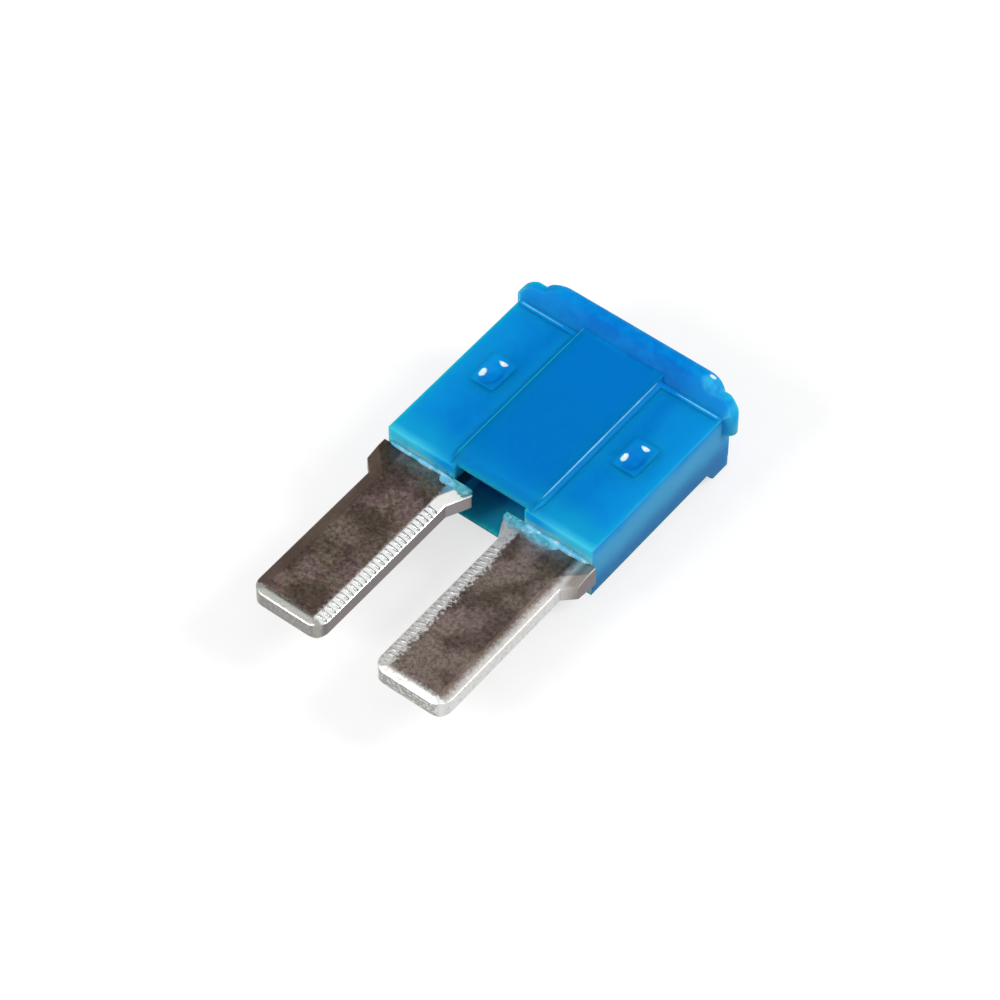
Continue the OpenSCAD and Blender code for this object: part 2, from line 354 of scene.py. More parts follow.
def painted_edge_highlights(graph, settings, place):
    """Painted highlights along the moulding's edges: strongest on the front, fainter on the head and the
    panel.
    """
    side, along, height = place["Side"], place["Along"], place["Height"]
    panel, foot = settings.panel_side / MM, settings.foot_along / MM
    values = {"Reach": settings.edge_reach / MM, "Breakup scale": 1.3, "Breakup": 0.75}
    return graph.times(
        add_group(graph, edge_group(), values).outputs["Wear"],
        graph.step(along, foot + 0.45, foot - 0.15, to_low=0.35),
        graph.step(height, 1.0, 2.6, to_low=0.1),
        graph.step(along, foot - 0.45, foot + 0.15, to_low=0.4),
        graph.step(side, panel + 0.08, panel + 0.38, to_low=0.15),
    )


def dimple_shade_and_glints(graph, settings, place, front):
    """A painted shade and painted highlights in the dimples: two masks."""
    ragged = graph.drift(graph.noise(place["Place"], scale=7.0, roughness=0.6), 0.09)
    sign = graph.math("SIGN", place["Across"])
    u = graph.math("MULTIPLY_ADD", sign, -settings.dimple_side / MM, place["Across"])
    u = graph.math("ADD", u, ragged)
    v = graph.math("SUBTRACT", place["Along"], settings.dimple_along / MM)
    shade = graph.spot(u, v, (0.12, -0.3), (0.4, 0.5))
    near_glint = graph.spot(u, v, (-0.3, -0.2), (0.08, 0.2))
    far_glint = graph.spot(u, v, (0.02, 0.5), (0.17, 0.055))
    return graph.times(shade, front), graph.times(graph.most(near_glint, far_glint), front)


def polyamide(settings, title, scatter):
    """Translucent blue polyamide; scatter is 1 for the moulding and 0 for small pieces laid on it."""
    if title in bpy.data.materials:
        return bpy.data.materials[title]
    made, graph, surface = new_material(title)
    place = add_group(graph, place_group()).outputs
    clouds = graph.noise(place["Place"], scale=0.5, distortion=0.6)
    mottle = graph.noise(place["Place"], scale=2.2, detail=4.0, roughness=0.6)
    drift = graph.math("ADD", graph.drift(clouds, 2.4), graph.drift(mottle, 1.1))
    colour = moulded_front(graph, settings, place, mottle, drift)
    colour = moulded_end(graph, settings, place, colour, mottle, drift)
    colour = moulded_sides(graph, settings, place, colour, mottle, drift)
    # Painted highlight: the moulding's edges are tinged pale.
    edge = graph.times(painted_edge_highlights(graph, settings, place), scatter)
    colour = graph.tinge(colour, settings.pale, edge, share=0.35)

    front = graph.step(place["Height"], 2.3, 2.4)
    shade, painted_glint = dimple_shade_and_glints(graph, settings, place, front)
    # Painted shade in the dimples, tinged toward the deep blue.
    colour = graph.tinge(colour, settings.deep, shade, share=0.8)
    # Painted highlight at the corner of the head's ramp, on the housing; the skin pieces carry the dimples'
    # painted highlights.
    corner = graph.spot(place["Across"], place["Along"], (3.07, 7.33), (0.12, 0.07))
    painted_glint = graph.blend(scatter, painted_glint, graph.times(corner, front))
    colour = graph.mix(painted_glint, colour, settings.glint)

    grain = add_group(graph, grain_group(), {"Scale": 9.0}).outputs
    near, far = settings.end_round * scatter, settings.round_edge * scatter
    radius = graph.step(place["Along"], 0.3, -0.1, to_low=far, to_high=near)
    wave = graph.bump(mottle, strength=0.35, distance=0.03, normal=graph.rounded(radius))
    shader = graph.node(
        "BsdfPrincipled",
        {
            "Base Color": colour,
            "Roughness": graph.blend(grain["Value"], settings.gloss_low, settings.gloss_high),
            "Normal": graph.bump(grain["Height"], strength=0.3, distance=0.003, normal=wave),
            "IOR": 1.5,
            "Specular IOR Level": 0.015,
            "Subsurface Weight": scatter,
            "Subsurface Radius": (0.15, 0.7, 1.0),
            "Subsurface Scale": 1.3 * MM,
            "Coat Weight": graph.times(graph.most(edge, painted_glint), 0.4),
            "Coat Roughness": 0.1,
        },
    )
    graph.feed(surface, shader.outputs[0])
    return made


def pale_polyamide(name, thin, pale, film, glint, share, fade_from=-2.0, fade_to=-1.9):
    """Thin or pale polyamide with painted glints, which feathers out between two places along the part.

    The places that stand in for none given lie past every piece, so that nothing feathers out."""
    made, graph, surface = new_material(name)
    place = add_group(graph, place_group()).outputs
    mottle = graph.noise(place["Place"], scale=3.0, detail=4.0, roughness=0.6)
    glints = graph.noise(place["Place"], scale=4.0, roughness=0.6)
    grain = add_group(graph, grain_group(), {"Scale": 12.0}).outputs
    shifted = graph.math("ADD", place["Along"], graph.drift(mottle, 0.4))
    colour = graph.mix(graph.step(mottle, 0.35, 0.65), thin, pale)
    # Painted highlights: glints are white specks mixed into the colour.
    colour = graph.tinge(colour, glint, graph.step(glints, 0.54, 0.68), share)
    colour = graph.mix(graph.step(shifted, fade_to, fade_from), colour, film)
    shader = graph.node(
        "BsdfPrincipled",
        {
            "Base Color": colour,
            "Roughness": graph.blend(grain["Value"], 0.2, 0.4),
            "Normal": graph.bump(grain["Height"], strength=0.5, distance=0.01),
            "IOR": 1.5,
            "Specular IOR Level": 0.3,
            "Alpha": graph.step(shifted, fade_from, fade_to, to_low=0.12, to_high=0.95),
        },
    )
    graph.feed(surface, shader.outputs[0])
    return made


def blade_places(settings):
    """The middle and the outer edge of a blade and half the width of its flat, in millimetres."""
    middle = settings.blade_pitch / 2 / MM
    half = settings.blade_width / 2 / MM
    return middle, middle + half, half - settings.coin_width / MM


def rolled_metal(graph, settings, point, speckle, right_blade, outer_strip):
    """Blotched tarnish of the rolled faces, with painted light on the right blade and painted shade along
    their outer edges.
    """
    patches = graph.noise(point, scale=1.1, detail=4.0, roughness=0.6, distortion=0.5)
    shade = graph.noise(point, scale=0.8)
    colour = graph.mix(graph.step(patches, 0.42, 0.58), settings.plum, settings.olive)
    colour = graph.tinge(colour, settings.grey, graph.step(speckle, 0.35, 0.75), share=0.55)
    # Painted light: the right blade's flats are paler than the left's.
    colour = graph.tinge(colour, settings.grey, right_blade, share=0.3)
    colour = graph.mix(graph.step(shade, 0.58, 0.4, to_high=0.65), colour, settings.dark)
    # Painted shade along the outer edges, darker on the left blade.
    outer_edge_shade = graph.times(outer_strip, graph.blend(right_blade, 0.8, 0.6))
    return graph.mix(outer_edge_shade, colour, settings.dark)


def coined_metal(graph, settings, speckle, inner, right_blade, left_tip_shade):
    """Bright coined metal: a painted highlight inside the left blade, peened inside the right one."""
    left_blade = graph.rest(right_blade)
    # Painted highlight: the left blade's inner bevel is brightest.
    colour = graph.mix(graph.times(inner, left_blade), settings.bright, settings.coined_highlight)
    peened = graph.times(inner, right_blade, graph.step(speckle, 0.52, 0.36, to_high=0.75))
    colour = graph.mix(peened, colour, settings.grey)
    # Painted shade: the left blade's tip bevel is grey.
    return graph.mix(left_tip_shade, colour, settings.end_grey)


def sheared_metal(graph, settings, place, speckle, right_blade):
    """Sheared sides: bright on the right blade and dark on the left by painted reflection, with painted
    shade where the shoulders taper.
    """
    shoulder = settings.shoulder_along / MM
    _, outer_edge, _ = blade_places(settings)
    # Painted reflection: the right blade's sides are bright, the left's dark.
    lit_right_sides = graph.times(right_blade, graph.step(place["Along"], shoulder, shoulder - 0.7))
    colour = graph.mix(lit_right_sides, settings.sheared_in_shade, settings.bright)
    # Painted shade on the tapered sides of the shoulders.
    taper_shade = graph.step(place["Side"], outer_edge - 0.05, outer_edge + 0.05)
    taper_shade = graph.times(taper_shade, graph.step(place["Facing side"], 0.99, 0.95))
    colour = graph.tinge(colour, settings.dark, taper_shade, share=0.7)
    return graph.mix(graph.step(speckle, 0.55, 0.3, to_high=0.3), colour, settings.plum)


def tinned_zinc(settings):
    """Tin on zinc: dull and blotched where it was rolled, bright where it was coined; light and shade are
    painted differently on the two blades.
    """
    title = "Tinned zinc"
    if title in bpy.data.materials:
        return bpy.data.materials[title]
    made, graph, surface = new_material(title)
    place = add_group(graph, place_group()).outputs
    side, along = place["Side"], place["Along"]
    middle, outer_edge, flat_half = blade_places(settings)
    tip, shoulder = settings.tip_along / MM, settings.shoulder_along / MM
    speckle = graph.noise(place["Place"], scale=8.0, roughness=0.7)
    right_blade = graph.step(place["Across"], -0.2, 0.2)
    left_blade = graph.rest(right_blade)
    inner = graph.step(side, middle + 0.1, middle - 0.1)
    outer = graph.rest(inner)

    off = graph.math("ABSOLUTE", graph.math("SUBTRACT", side, middle))
    off = graph.math("ADD", off, graph.drift(speckle, 0.3))
    peen = graph.times(
        right_blade, graph.step(speckle, 0.42, 0.6), graph.step(along, shoulder, shoulder - 1.3)
    )
    peened_off = graph.math("MULTIPLY_ADD", peen, 0.14, off)
    inner_bevel = graph.times(inner, graph.step(peened_off, flat_half - 0.08, flat_half + 0.06))
    # Painted shade: only the right blade's outer bevel is coined bright; the left one keeps the dark rolled
    # colour.
    outer_bevel = graph.times(
        graph.step(off, flat_half + 0.05, flat_half + 0.36), outer, graph.times(right_blade, 0.7)
    )
    tip_bevel = graph.math("ADD", along, graph.drift(speckle, 0.45))
    tip_bevel = graph.step(tip_bevel, tip + 0.14, tip - 0.04)
    # Painted shade: the coined brightness fades on the tapered shoulders.
    tapered = graph.times(
        graph.step(side, outer_edge - 0.1, outer_edge + 0.1),
        graph.step(along, shoulder - 0.5, shoulder - 0.1),
    )
    coined = graph.most(inner_bevel, outer_bevel, tip_bevel)
    coined = graph.times(coined, graph.rest(graph.times(tapered, 0.65)))

    strip = graph.times(outer, graph.step(off, flat_half - 0.06, flat_half + 0.06))
    dull = rolled_metal(graph, settings, place["Place"], speckle, right_blade, strip)
    left_tip_shade = graph.times(left_blade, tip_bevel)
    bright = coined_metal(graph, settings, speckle, inner, right_blade, left_tip_shade)
    colour = graph.mix(coined, dull, bright)
    flank = graph.step(place["Facing side"], 0.75, 0.95)
    colour = graph.mix(flank, colour, sheared_metal(graph, settings, place, speckle, right_blade))
    end_colour = graph.mix(graph.step(speckle, 0.5, 0.62), settings.end_grey, settings.bright)
    # Painted shade: the left blade's end faces are darker.
    end_colour = graph.tinge(end_colour, settings.sheared_in_shade, left_blade, share=0.6)
    colour = graph.mix(graph.step(place["Facing end"], 0.75, 0.95), colour, end_colour)
    # Paler near the stamping's edges.
    edge = add_group(graph, edge_group(), {"Reach": 0.05, "Breakup scale": 6.0, "Breakup": 0.8})
    colour = graph.tinge(colour, settings.bright, edge.outputs["Wear"], share=0.2)

    grain = add_group(graph, grain_group(), {"Scale": 7.0}).outputs
    rounded = graph.rounded(settings.worn_edge)
    pits = graph.bump(speckle, strength=0.45, distance=0.012, normal=rounded)
    rough = graph.blend(grain["Value"], 0.32, 0.5)
    shader = graph.node(
        "BsdfPrincipled",
        {
            "Base Color": colour,
            "Roughness": graph.blend(coined, rough, graph.blend(right_blade, 0.28, 0.5)),
            "Normal": graph.bump(grain["Height"], strength=0.4, distance=0.015, normal=pits),
            "Metallic": 1.0,
        },
    )
    graph.feed(surface, shader.outputs[0])
    return made


def seen_directly(graph):
    """1 for what the camera sees, also in reflections and through clear pieces, and 0 for other light."""
    path = graph.node("LightPath").outputs
    return graph.most(path["Is Camera Ray"], path["Is Glossy Ray"], path["Is Transmission Ray"])


def woven(graph, dark, light, scale, detail):
    """A matt surface whose colour wanders between two."""
    fibre = graph.noise(graph.node("TexCoord").outputs["Object"], scale, detail)
    return graph.node("BsdfDiffuse", {"Color": graph.mix(fibre, dark, light)}).outputs[0]


def paper(settings):
    """The studio's floor: white to the camera and in reflections, and shaded by the object."""
    made, graph, surface = new_material("White paper")
    lift = graph.math("MULTIPLY", seen_directly(graph), settings.floor_lift)
    matt = woven(graph, settings.paper_dark, settings.paper_light, scale=900.0, detail=3.0)
    glow = graph.node("Emission", {"Strength": lift}).outputs[0]
    graph.feed(surface, graph.node("AddShader", {0: matt, 1: glow}).outputs[0])
    return made


def cloth(settings):
    """Dark cloth that keeps the flat faces from mirroring the lamps."""
    made, graph, surface = new_material("Dark cloth")
    matt = woven(graph, settings.cloth_dark, settings.cloth_light, scale=300.0, detail=2.0)
    graph.feed(surface, matt)
    return made


# Sizes and colours


def tint(name, about, value):
    """A colour property."""
    return bpy.props.FloatVectorProperty(
        name=name, description=about, subtype="COLOR", size=4, min=0.0, max=1.0, default=value
    )


def length(name, about, value, low=0.0):
    """A length property in metres."""
    return bpy.props.FloatProperty(
        name=name, description=about, default=value, min=low, subtype="DISTANCE", unit="LENGTH", precision=5
    )


def number(name, about, value):
    """A property that is a plain number."""
    return bpy.props.FloatProperty(name=name, description=about, default=value)


class HousingSettings(bpy.types.PropertyGroup):
    """The moulded housing's colours, places and edges."""

    deep: tint("Middle", "Colour over the link", (0.0006, 0.195, 0.6, 1.0))
    side: tint("Sides", "Colour over the two plates", (0.003, 0.28, 0.69, 1.0))
    cloudy: tint("Cloudy", "Milky patches toward the outer edges", (0.006, 0.35, 0.64, 1.0))
    thin: tint("Thin places", "Colour at the blade end and the ears", (0.05, 0.5, 0.76, 1.0))
    pale: tint("Pale highlight", "Pale colour of painted edge highlights and lips", (0.26, 0.68, 0.88, 1.0))
    glint: tint("Painted glints", "Painted highlights in the dimples and at the ramp's corner", (0.75, 0.92, 0.92, 1.0))
    mouth: tint("Mouth", "Paler colour inside the opening between the blades, lifted by painted light", (0.015, 0.34, 0.56, 1.0))
    # flank_low and flank_high paint shade low and light high on the side faces
    flank_low: tint("Flank, low", "Painted shade low on the side faces", (0.03, 0.19, 0.49, 1.0))
    flank_high: tint("Flank, high", "Painted light high on the side faces", (0.07, 0.39, 0.75, 1.0))
    thin_from: length("Thin from", "Where the thin colour is full, along the part", -0.00036, -1.0)
    thin_to: length("Thin to", "Where the thin colour has faded out", -0.00002, -1.0)
    end_along: length("Blade end", "Where the housing ends, along the part", -0.00039, -1.0)
    body_side: length("Body side", "Distance of the body's side faces from the middle", 0.0041)
    body_top: length("Body face", "Height of the body's front face", 0.00302)
    mouth_side: length("Mouth side", "Distance of the mouth's sides from the middle", 0.00146)
    panel_side: length("Panel side", "Distance of the panel's sides from the middle", 0.00162)
    panel_rise: length("Panel rise", "Height of the panel above the body", 0.0002)
    foot_along: length("Ramp foot", "Where the ramp of the head starts, along the part", 0.00645)
    dimple_side: length("Dimple side", "Distance of a dimple from the middle", 0.00287)
    dimple_along: length("Dimple along", "Where the dimples are, along the part", 0.0035)
    edge_reach: length("Edge reach", "How far the paler edges reach in", 0.00008)
    round_edge: length("Edge radius", "Radius of the moulding's edges", 0.00006)
    end_round: length("End radius", "Radius of the edges at the blade end", 0.00018)
    gloss_low: number("Smooth", "Lowest roughness", 0.3)
    gloss_high: number("Rough", "Highest roughness", 0.42)


class ConductorSettings(bpy.types.PropertyGroup):
    """The stamped conductor's sizes and colours."""

    blade_pitch: length("Blade pitch", "Distance between the middles of the blades", 0.0049)
    blade_width: length("Blade width", "Width of a blade", 0.0028)
    blade_top: length("Blade face", "Height of the blades' front faces", 0.0023)
    shoulder_along: length("Shoulders", "Where the shoulders meet the blades, along the part", -0.0012, -1.0)
    tip_along: length("Tip bevel", "Where the bevel of the tips ends, along the part", -0.0074, -1.0)
    coin_width: length("Bevel width", "Width of the coined bevel", 0.00042)
    coin_depth: length("Bevel depth", "Depth of the coined bevel", 0.00012)
    round_edge: length("Edge radius", "Radius of the stamping's edges", 0.00003)
    worn_edge: length("Worn edge", "Radius to which the edges look worn", 0.00009)
    rib_pitch: length("Rib pitch", "Distance from one coining rib to the next", 0.00022)
    rib_width: length("Rib width", "Width of a coining rib", 0.00011)
    rib_height: length("Rib height", "Height of a coining rib", 0.000006)
    tip_gap: length("Tip gap", "From a tip to the first coining rib", 0.00045)
    neck_gap: length("Neck gap", "From the last coining rib to the housing", 0.00125)
    plum: tint("Plum", "Purplish tarnish of the rolled faces", (0.25, 0.158, 0.15, 1.0))
    olive: tint("Olive", "Yellowish tarnish of the rolled faces", (0.21, 0.165, 0.11, 1.0))
    dark: tint("Dark", "Darkest tarnish, also painted shade at outer edges and tapers", (0.082, 0.055, 0.042, 1.0))
    grey: tint("Grey", "Grey grain of the rolled faces", (0.46, 0.38, 0.35, 1.0))
    bright: tint("Bright", "Freshly coined metal", (0.68, 0.68, 0.665, 1.0))
    # coined_highlight is a painted highlight on the left blade's inner bevel
    coined_highlight: tint("Fresh", "Painted highlight on the left blade's inner bevel", (0.84, 0.84, 0.82, 1.0))
    sheared_in_shade: tint("Sheared", "Sheared sides and ends of the left blade, in painted shade", (0.195, 0.17, 0.175, 1.0))
    end_grey: tint("End grey", "Sheared ends of the blades", (0.36, 0.36, 0.335, 1.0))


class TrimSettings(bpy.types.PropertyGroup):
    """Sizes and colours of the lips, the flash, the mould lines, the bowls and the fillets."""

    glint: tint("Glints", "Painted glints in the lips and the flash", (0.85, 0.92, 0.92, 1.0))
    lip_radius: length("Lip radius", "Radius of the lip where plastic meets metal", 0.000085)
    flash: tint("Flash", "Turquoise of the flash over the blades, a painted reflection of the housing", (0.06, 0.5, 0.6, 1.0))
    film: tint("Film", "Colour of the flash where it thins out", (0.36, 0.42, 0.43, 1.0))
    flash_reach: length("Flash reach", "How far the flash creeps over the blades", 0.00046)
    flash_thick: length("Flash thickness", "Thickness of the flash at the housing", 0.00007)
    line: tint("Lines", "Pale colour of the mould lines, a painted highlight", (0.17, 0.56, 0.9, 1.0))
    line_radius: length("Line radius", "Radius of the raised mould lines", 0.00003)
    bowl_width: length("Bowl width", "Width of a dimple at its rim", 0.00096)
    bowl_length: length("Bowl length", "Length of a dimple at its rim", 0.00138)
    bowl_depth: length("Bowl depth", "Depth of a dimple's smooth bowl", 0.0002)
    bowl_wall: length("Bowl wall", "Width of a dimple's sloping wall", 0.0003)
    bowl_foot: length("Bowl foot", "How far the body of a bowl reaches into the recess", 0.0006)
    fillet_width: length("Fillet width", "Width of the fillets beside the panel", 0.00014)
    foot_fillet: length("Foot fillet", "Reach of the fillet at the foot of the head", 0.00014)


class StudioSettings(bpy.types.PropertyGroup):
    """Camera, lamps, floor and cloth."""

    azimuth: number("Azimuth", "Camera's bearing in degrees", 37.595)
    elevation: number("Elevation", "Camera's height in degrees", 51.222)
    roll: number("Roll", "Camera's roll in degrees", 0.527)
    distance: length("Distance", "From the camera to the point it looks at", 0.1501)
    lens: number("Lens", "Focal length in millimetres", 169.66)
    look_at: bpy.props.FloatVectorProperty(
        name="Look at", description="The point in the picture's middle", subtype="TRANSLATION",
        default=(0.000005, 0.000158, 0.0019), precision=6,
    )
    sky: number("Sky", "Strength of the soft light all round", 0.48)
    lamp_power: number("Lamp power", "Power of each lamp in watts", 0.45)
    lamp_size: length("Lamp size", "Side of each square lamp", 0.1)
    lamp_distance: length("Lamp distance", "From each lamp to the part", 0.3)
    floor_half: length("Floor", "Half the side of the floor", 1.5)
    floor_lift: number("Floor lift", "White added to the floor", 0.68)
    paper_dark: tint("Paper, dark", "Darker fibres of the floor", (0.36, 0.36, 0.36, 1.0))
    paper_light: tint("Paper, light", "Lighter fibres of the floor", (0.4, 0.4, 0.4, 1.0))
    cloth_distance: length("Cloth distance", "From the dark cloth to the part", 0.5)
    cloth_width: length("Cloth width", "Width of the dark cloth", 0.3)
    cloth_height: length("Cloth height", "Height of the dark cloth", 0.28)
    cloth_dark: tint("Cloth, dark", "Darker threads of the cloth", (0.012, 0.011, 0.01, 1.0))
    cloth_light: tint("Cloth, light", "Lighter threads of the cloth", (0.03, 0.027, 0.025, 1.0))


# Pieces


def smooth_group(degrees):
    """A modifier tree that shades a mesh smooth, but for edges sharper than an angle."""
    name = f"Smooth below {degrees} degrees"
    if name in bpy.data.node_groups:
        return bpy.data.node_groups[name]
    tree = bpy.data.node_groups.new(name, "GeometryNodeTree")
    for in_out in ("INPUT", "OUTPUT"):
        tree.interface.new_socket("Geometry", in_out=in_out, socket_type="NodeSocketGeometry")
    start = tree.nodes.new("NodeGroupInput")
    smooth = tree.nodes.new("GeometryNodeSetShadeSmooth")
    angle = tree.nodes.new("GeometryNodeInputMeshEdgeAngle")
    sharp = tree.nodes.new("FunctionNodeCompare")
    sharp.inputs["B"].default_value = math.radians(degrees)
    crease = tree.nodes.new("GeometryNodeSetShadeSmooth")
    crease.domain = "EDGE"
    crease.inputs["Shade Smooth"].default_value = False
    end = tree.nodes.new("NodeGroupOutput")
    tree.links.new(start.outputs[0], smooth.inputs["Geometry"])
    tree.links.new(smooth.outputs[0], crease.inputs["Geometry"])
    tree.links.new(angle.outputs["Unsigned Angle"], sharp.inputs["A"])
    tree.links.new(sharp.outputs[0], crease.inputs["Selection"])
    tree.links.new(crease.outputs[0], end.inputs[0])
    return tree


def dress(node, material, round_edge, smooth_to):
    """Gives a node of the frame its material and fine round edges; smooth_to is in degrees."""
    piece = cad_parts[node]
    piece.data.materials.clear()
    piece.data.materials.append(material)
    weld = piece.modifiers.new("Weld", "WELD")
    weld.merge_threshold = WELD_DISTANCE
    piece.modifiers.new("Smooth", "NODES").node_group = smooth_group(smooth_to)
    bevel = piece.modifiers.new("Round edges", "BEVEL")
    bevel.width = round_edge
    bevel.segments = 2
    bevel.limit_method = "ANGLE"
    bevel.angle_limit = math.radians(ROUNDED_ABOVE)
    normals = piece.modifiers.new("Weighted normals", "WEIGHTED_NORMAL")
    normals.keep_sharp = True
    return piece


class Solid:
    """Closed bodies made of joined rings of points, in millimetres."""

    def __init__(self):
        self.points = []
        self.faces = []

    def body(self, rings):
        """Joins rings of equally many points into one closed body."""
        count = len(rings[0])
        first = len(self.points)
        for ring in rings:
            self.points.extend(ring)
        for row in range(len(rings) - 1):
            a, b = first + row * count, first + (row + 1) * count
            for i in range(count):
                j = (i + 1) % count
                self.faces.append((a + i, a + j, b + j, b + i))
        last = first + (len(rings) - 1) * count
        self.faces.append(tuple(range(first + count - 1, first - 1, -1)))
        self.faces.append(tuple(range(last, last + count)))

    def bead(self, path, radii, squash=1.0, sides=10):
        """A tapered bead along a path; squash flattens it."""
        rings = []
        for i, point in enumerate(path):
            ahead = path[min(i + 1, len(path) - 1)] - path[max(i - 1, 0)]
            across = ahead.cross(Vector((0, 0, 1))).normalized()
            rise = across.cross(ahead).normalized() * squash
            ring = []
            for k in range(sides):
                turn = 2 * math.pi * k / sides
                ring.append(point + (across * math.cos(turn) + rise * math.sin(turn)) * radii[i])
            rings.append(ring)
        self.body(rings)

    def piece(self, name, material, slot):
        """Makes the object, in metres, riding on the part."""
        mesh = bpy.data.meshes.new(name)
        mesh.from_pydata([tuple(p * MM) for p in self.points], [], self.faces)
        shape = bmesh.new()
        shape.from_mesh(mesh)
        bmesh.ops.recalc_face_normals(shape, faces=shape.faces)
        for face in shape.faces:
            face.smooth = True
        for edge in shape.edges:
            edge.smooth = edge.calc_face_angle(0.0) < math.radians(SHARP_ABOVE)
        shape.to_mesh(mesh)
        shape.free()
        mesh.materials.append(material)
        made = bpy.data.objects.new(name, mesh)
        bpy.context.scene.collection.objects.link(made)
        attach(made, "root")
        return made


def wander(x, y, z):
    """Smooth noise of either sign at a place."""
    return noise.noise(Vector((x, y, z)))


def wavy_bead(solid, start, end, radius, seed, steps=24, first=1.0):
    """A bead between two points whose thickness and line wander; first is its thickness at the start."""
    path, radii = [], []
    for i in range(steps + 1):
        t = i / steps
        here = start.lerp(end, t)
        shift = noise.noise(here * 3.0 + Vector((seed, 0, 0)))
        fat = 1.0 + 0.5 * noise.noise(here * 2.1 + Vector((0, seed, 0)))
        round_end = math.sqrt(max(0.04, 1.0 - (2 * t - 1) ** 8))
        path.append(here + Vector((0, shift * 0.3 * radius, 0)))
        radii.append(radius * fat * round_end * (first + (1.0 - first) * t))
    solid.bead(path, radii)


class FUSE_OT_housing(bpy.types.Operator):
    """Dress the moulded housing"""

    bl_idname = "fuse.housing"
    bl_label = "Housing"

    def execute(self, context):
        settings = context.scene.fuse_housing
        plastic = polyamide(settings, "Blue polyamide", scatter=1.0)
        dress("housing", plastic, settings.round_edge, smooth_to=35)
        return {"FINISHED"}


class FUSE_OT_conductor(bpy.types.Operator):
    """Dress the stamped conductor"""

    bl_idname = "fuse.conductor"
    bl_label = "Conductor"

    def execute(self, context):
        settings = context.scene.fuse_conductor
        metal = tinned_zinc(settings)
        dress("conductor", metal, settings.round_edge, smooth_to=12)
        return {"FINISHED"}


class FUSE_OT_ribs(bpy.types.Operator):
    """Coin fine ribs across the inner bevels of the blades"""

    bl_idname = "fuse.ribs"
    bl_label = "Coining ribs"

    def execute(self, context):
        settings = context.scene.fuse_conductor
        housing = context.scene.fuse_housing
        low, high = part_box("conductor")
        inner_edge = (settings.blade_pitch - settings.blade_width) / 2 / MM
        width, depth = settings.coin_width / MM, settings.coin_depth / MM
        face = settings.blade_top / MM
        back = (low.z + high.z) / MM - face
        pitch, radius = settings.rib_pitch / MM, settings.rib_width / MM / 2
        squash = settings.rib_height / settings.rib_width * 2
        first = (low.y + settings.tip_gap) / MM
        last = (housing.end_along - settings.neck_gap) / MM
        count = int((last - first) / pitch)
        for side, title, uneven in ((-1, "left", 0.3), (1, "right", 1.6)):
            solid = Solid()
            for i in range(count + 1):
                y = first + i * pitch
                worn = 0.95 + 0.3 * uneven * wander(side * 3.0, y * 4.7, 0)
                tilt = 0.12 * uneven * wander(y * 5.3, side, 0)
                for level, sign in ((face, 1), (back, -1)):
                    path, radii = [], []
                    for t in (0.04, 0.15, 0.5, 0.85, 0.96):
                        off = inner_edge + width * (1 - t)
                        path.append(Vector((side * off, y + tilt * t, level - sign * depth * t)))
                        radii.append(radius * worn * (1 if 0.1 < t < 0.9 else 0.35))
                    solid.bead(path, radii, squash, sides=8)
            solid.piece("coining_ribs_" + title, tinned_zinc(settings), "tinned_zinc")
        return {"FINISHED"}


def flash_ring(x, end, top, far, thick, ease, seed):
    """A section through the flash: its feathered face, from the housing outward, and its underside."""
    inside, sunk, deepest = 0.03, 0.004, 0.12
    ring = []
    for share in (0.0, 0.2, 0.45, 0.7, 0.9, 1.0):
        ripple = 0.25 * wander(x * 4.0, share * 3.0, seed)
        rise = thick * ((1 - share) ** 0.8 * (0.9 + ripple) + 0.1) * (0.3 + 0.7 * ease)
        ring.append(Vector((x, end + inside - (far + inside) * share, top + rise)))
    for share in (1.0, 0.0):
        drop = deepest * (1 - share) + sunk
        ring.append(Vector((x, end + inside - (far + inside) * share, top - drop)))
    return ring


class FUSE_OT_lips(bpy.types.Operator):
    """Mould the lips and the flash where the plastic meets the blades; the flash's turquoise is a painted
    reflection of the housing in the metal
    """

    bl_idname = "fuse.lips"
    bl_label = "Lips and flash"

    def execute(self, context):
        trim = context.scene.fuse_trim
        housing = context.scene.fuse_housing
        pale, glint = housing.pale, trim.glint
        # The lips are pale, with painted glints.
        plastic = pale_polyamide("Pale lip", housing.thin, pale, pale, glint, share=0.8)
        # Painted reflection: the flash sheet's turquoise stands for the housing mirrored in the metal near
        # it.
        thin = pale_polyamide(
            "Feathered flash", trim.flash, pale, trim.film, glint, share=0.7, fade_from=-1.0, fade_to=-0.55
        )
        end, top = housing.end_along / MM, context.scene.fuse_conductor.blade_top / MM
        radius = trim.lip_radius / MM
        along, level = end - radius * 0.2, top + radius * 0.5
        inner, outer = housing.mouth_side / MM, housing.body_side / MM - 0.1
        solid = Solid()
        for side, fatter, seed in ((-1, 1.0, 2.0), (1, 1.35, 7.0)):
            start = Vector((side * inner, along, level))
            stop = Vector((side * outer, along, level))
            wavy_bead(solid, start, stop, radius * fatter, seed)
        solid.piece("seam_lips", plastic, "blue_polyamide")

        steps = 36
        # Where each flash starts and ends across the part, its share of the reach, and a seed
        spans = {"left": (-1.9, -0.7, 0.85, 3.0), "right": (0.68, 2.9, 1.35, 5.0)}
        for title, (x0, x1, share, seed) in spans.items():
            solid = Solid()
            rings = []
            for i in range(steps + 1):
                t = i / steps
                x = x0 + (x1 - x0) * t
                ease = math.sin(math.pi * min(1.0, max(0.02, t))) ** 0.35
                far = share * trim.flash_reach / MM * ease
                far *= 0.8 + 0.5 * wander(x * 1.9, seed, 0)
                far *= 1.0 + 0.3 * wander(x * 8.0, seed, 0)
                rings.append(flash_ring(x, end, top, far, trim.flash_thick / MM, ease, seed))
            solid.body(rings)
            solid.piece("flash_" + title, thin, "blue_polyamide")
        return {"FINISHED"}


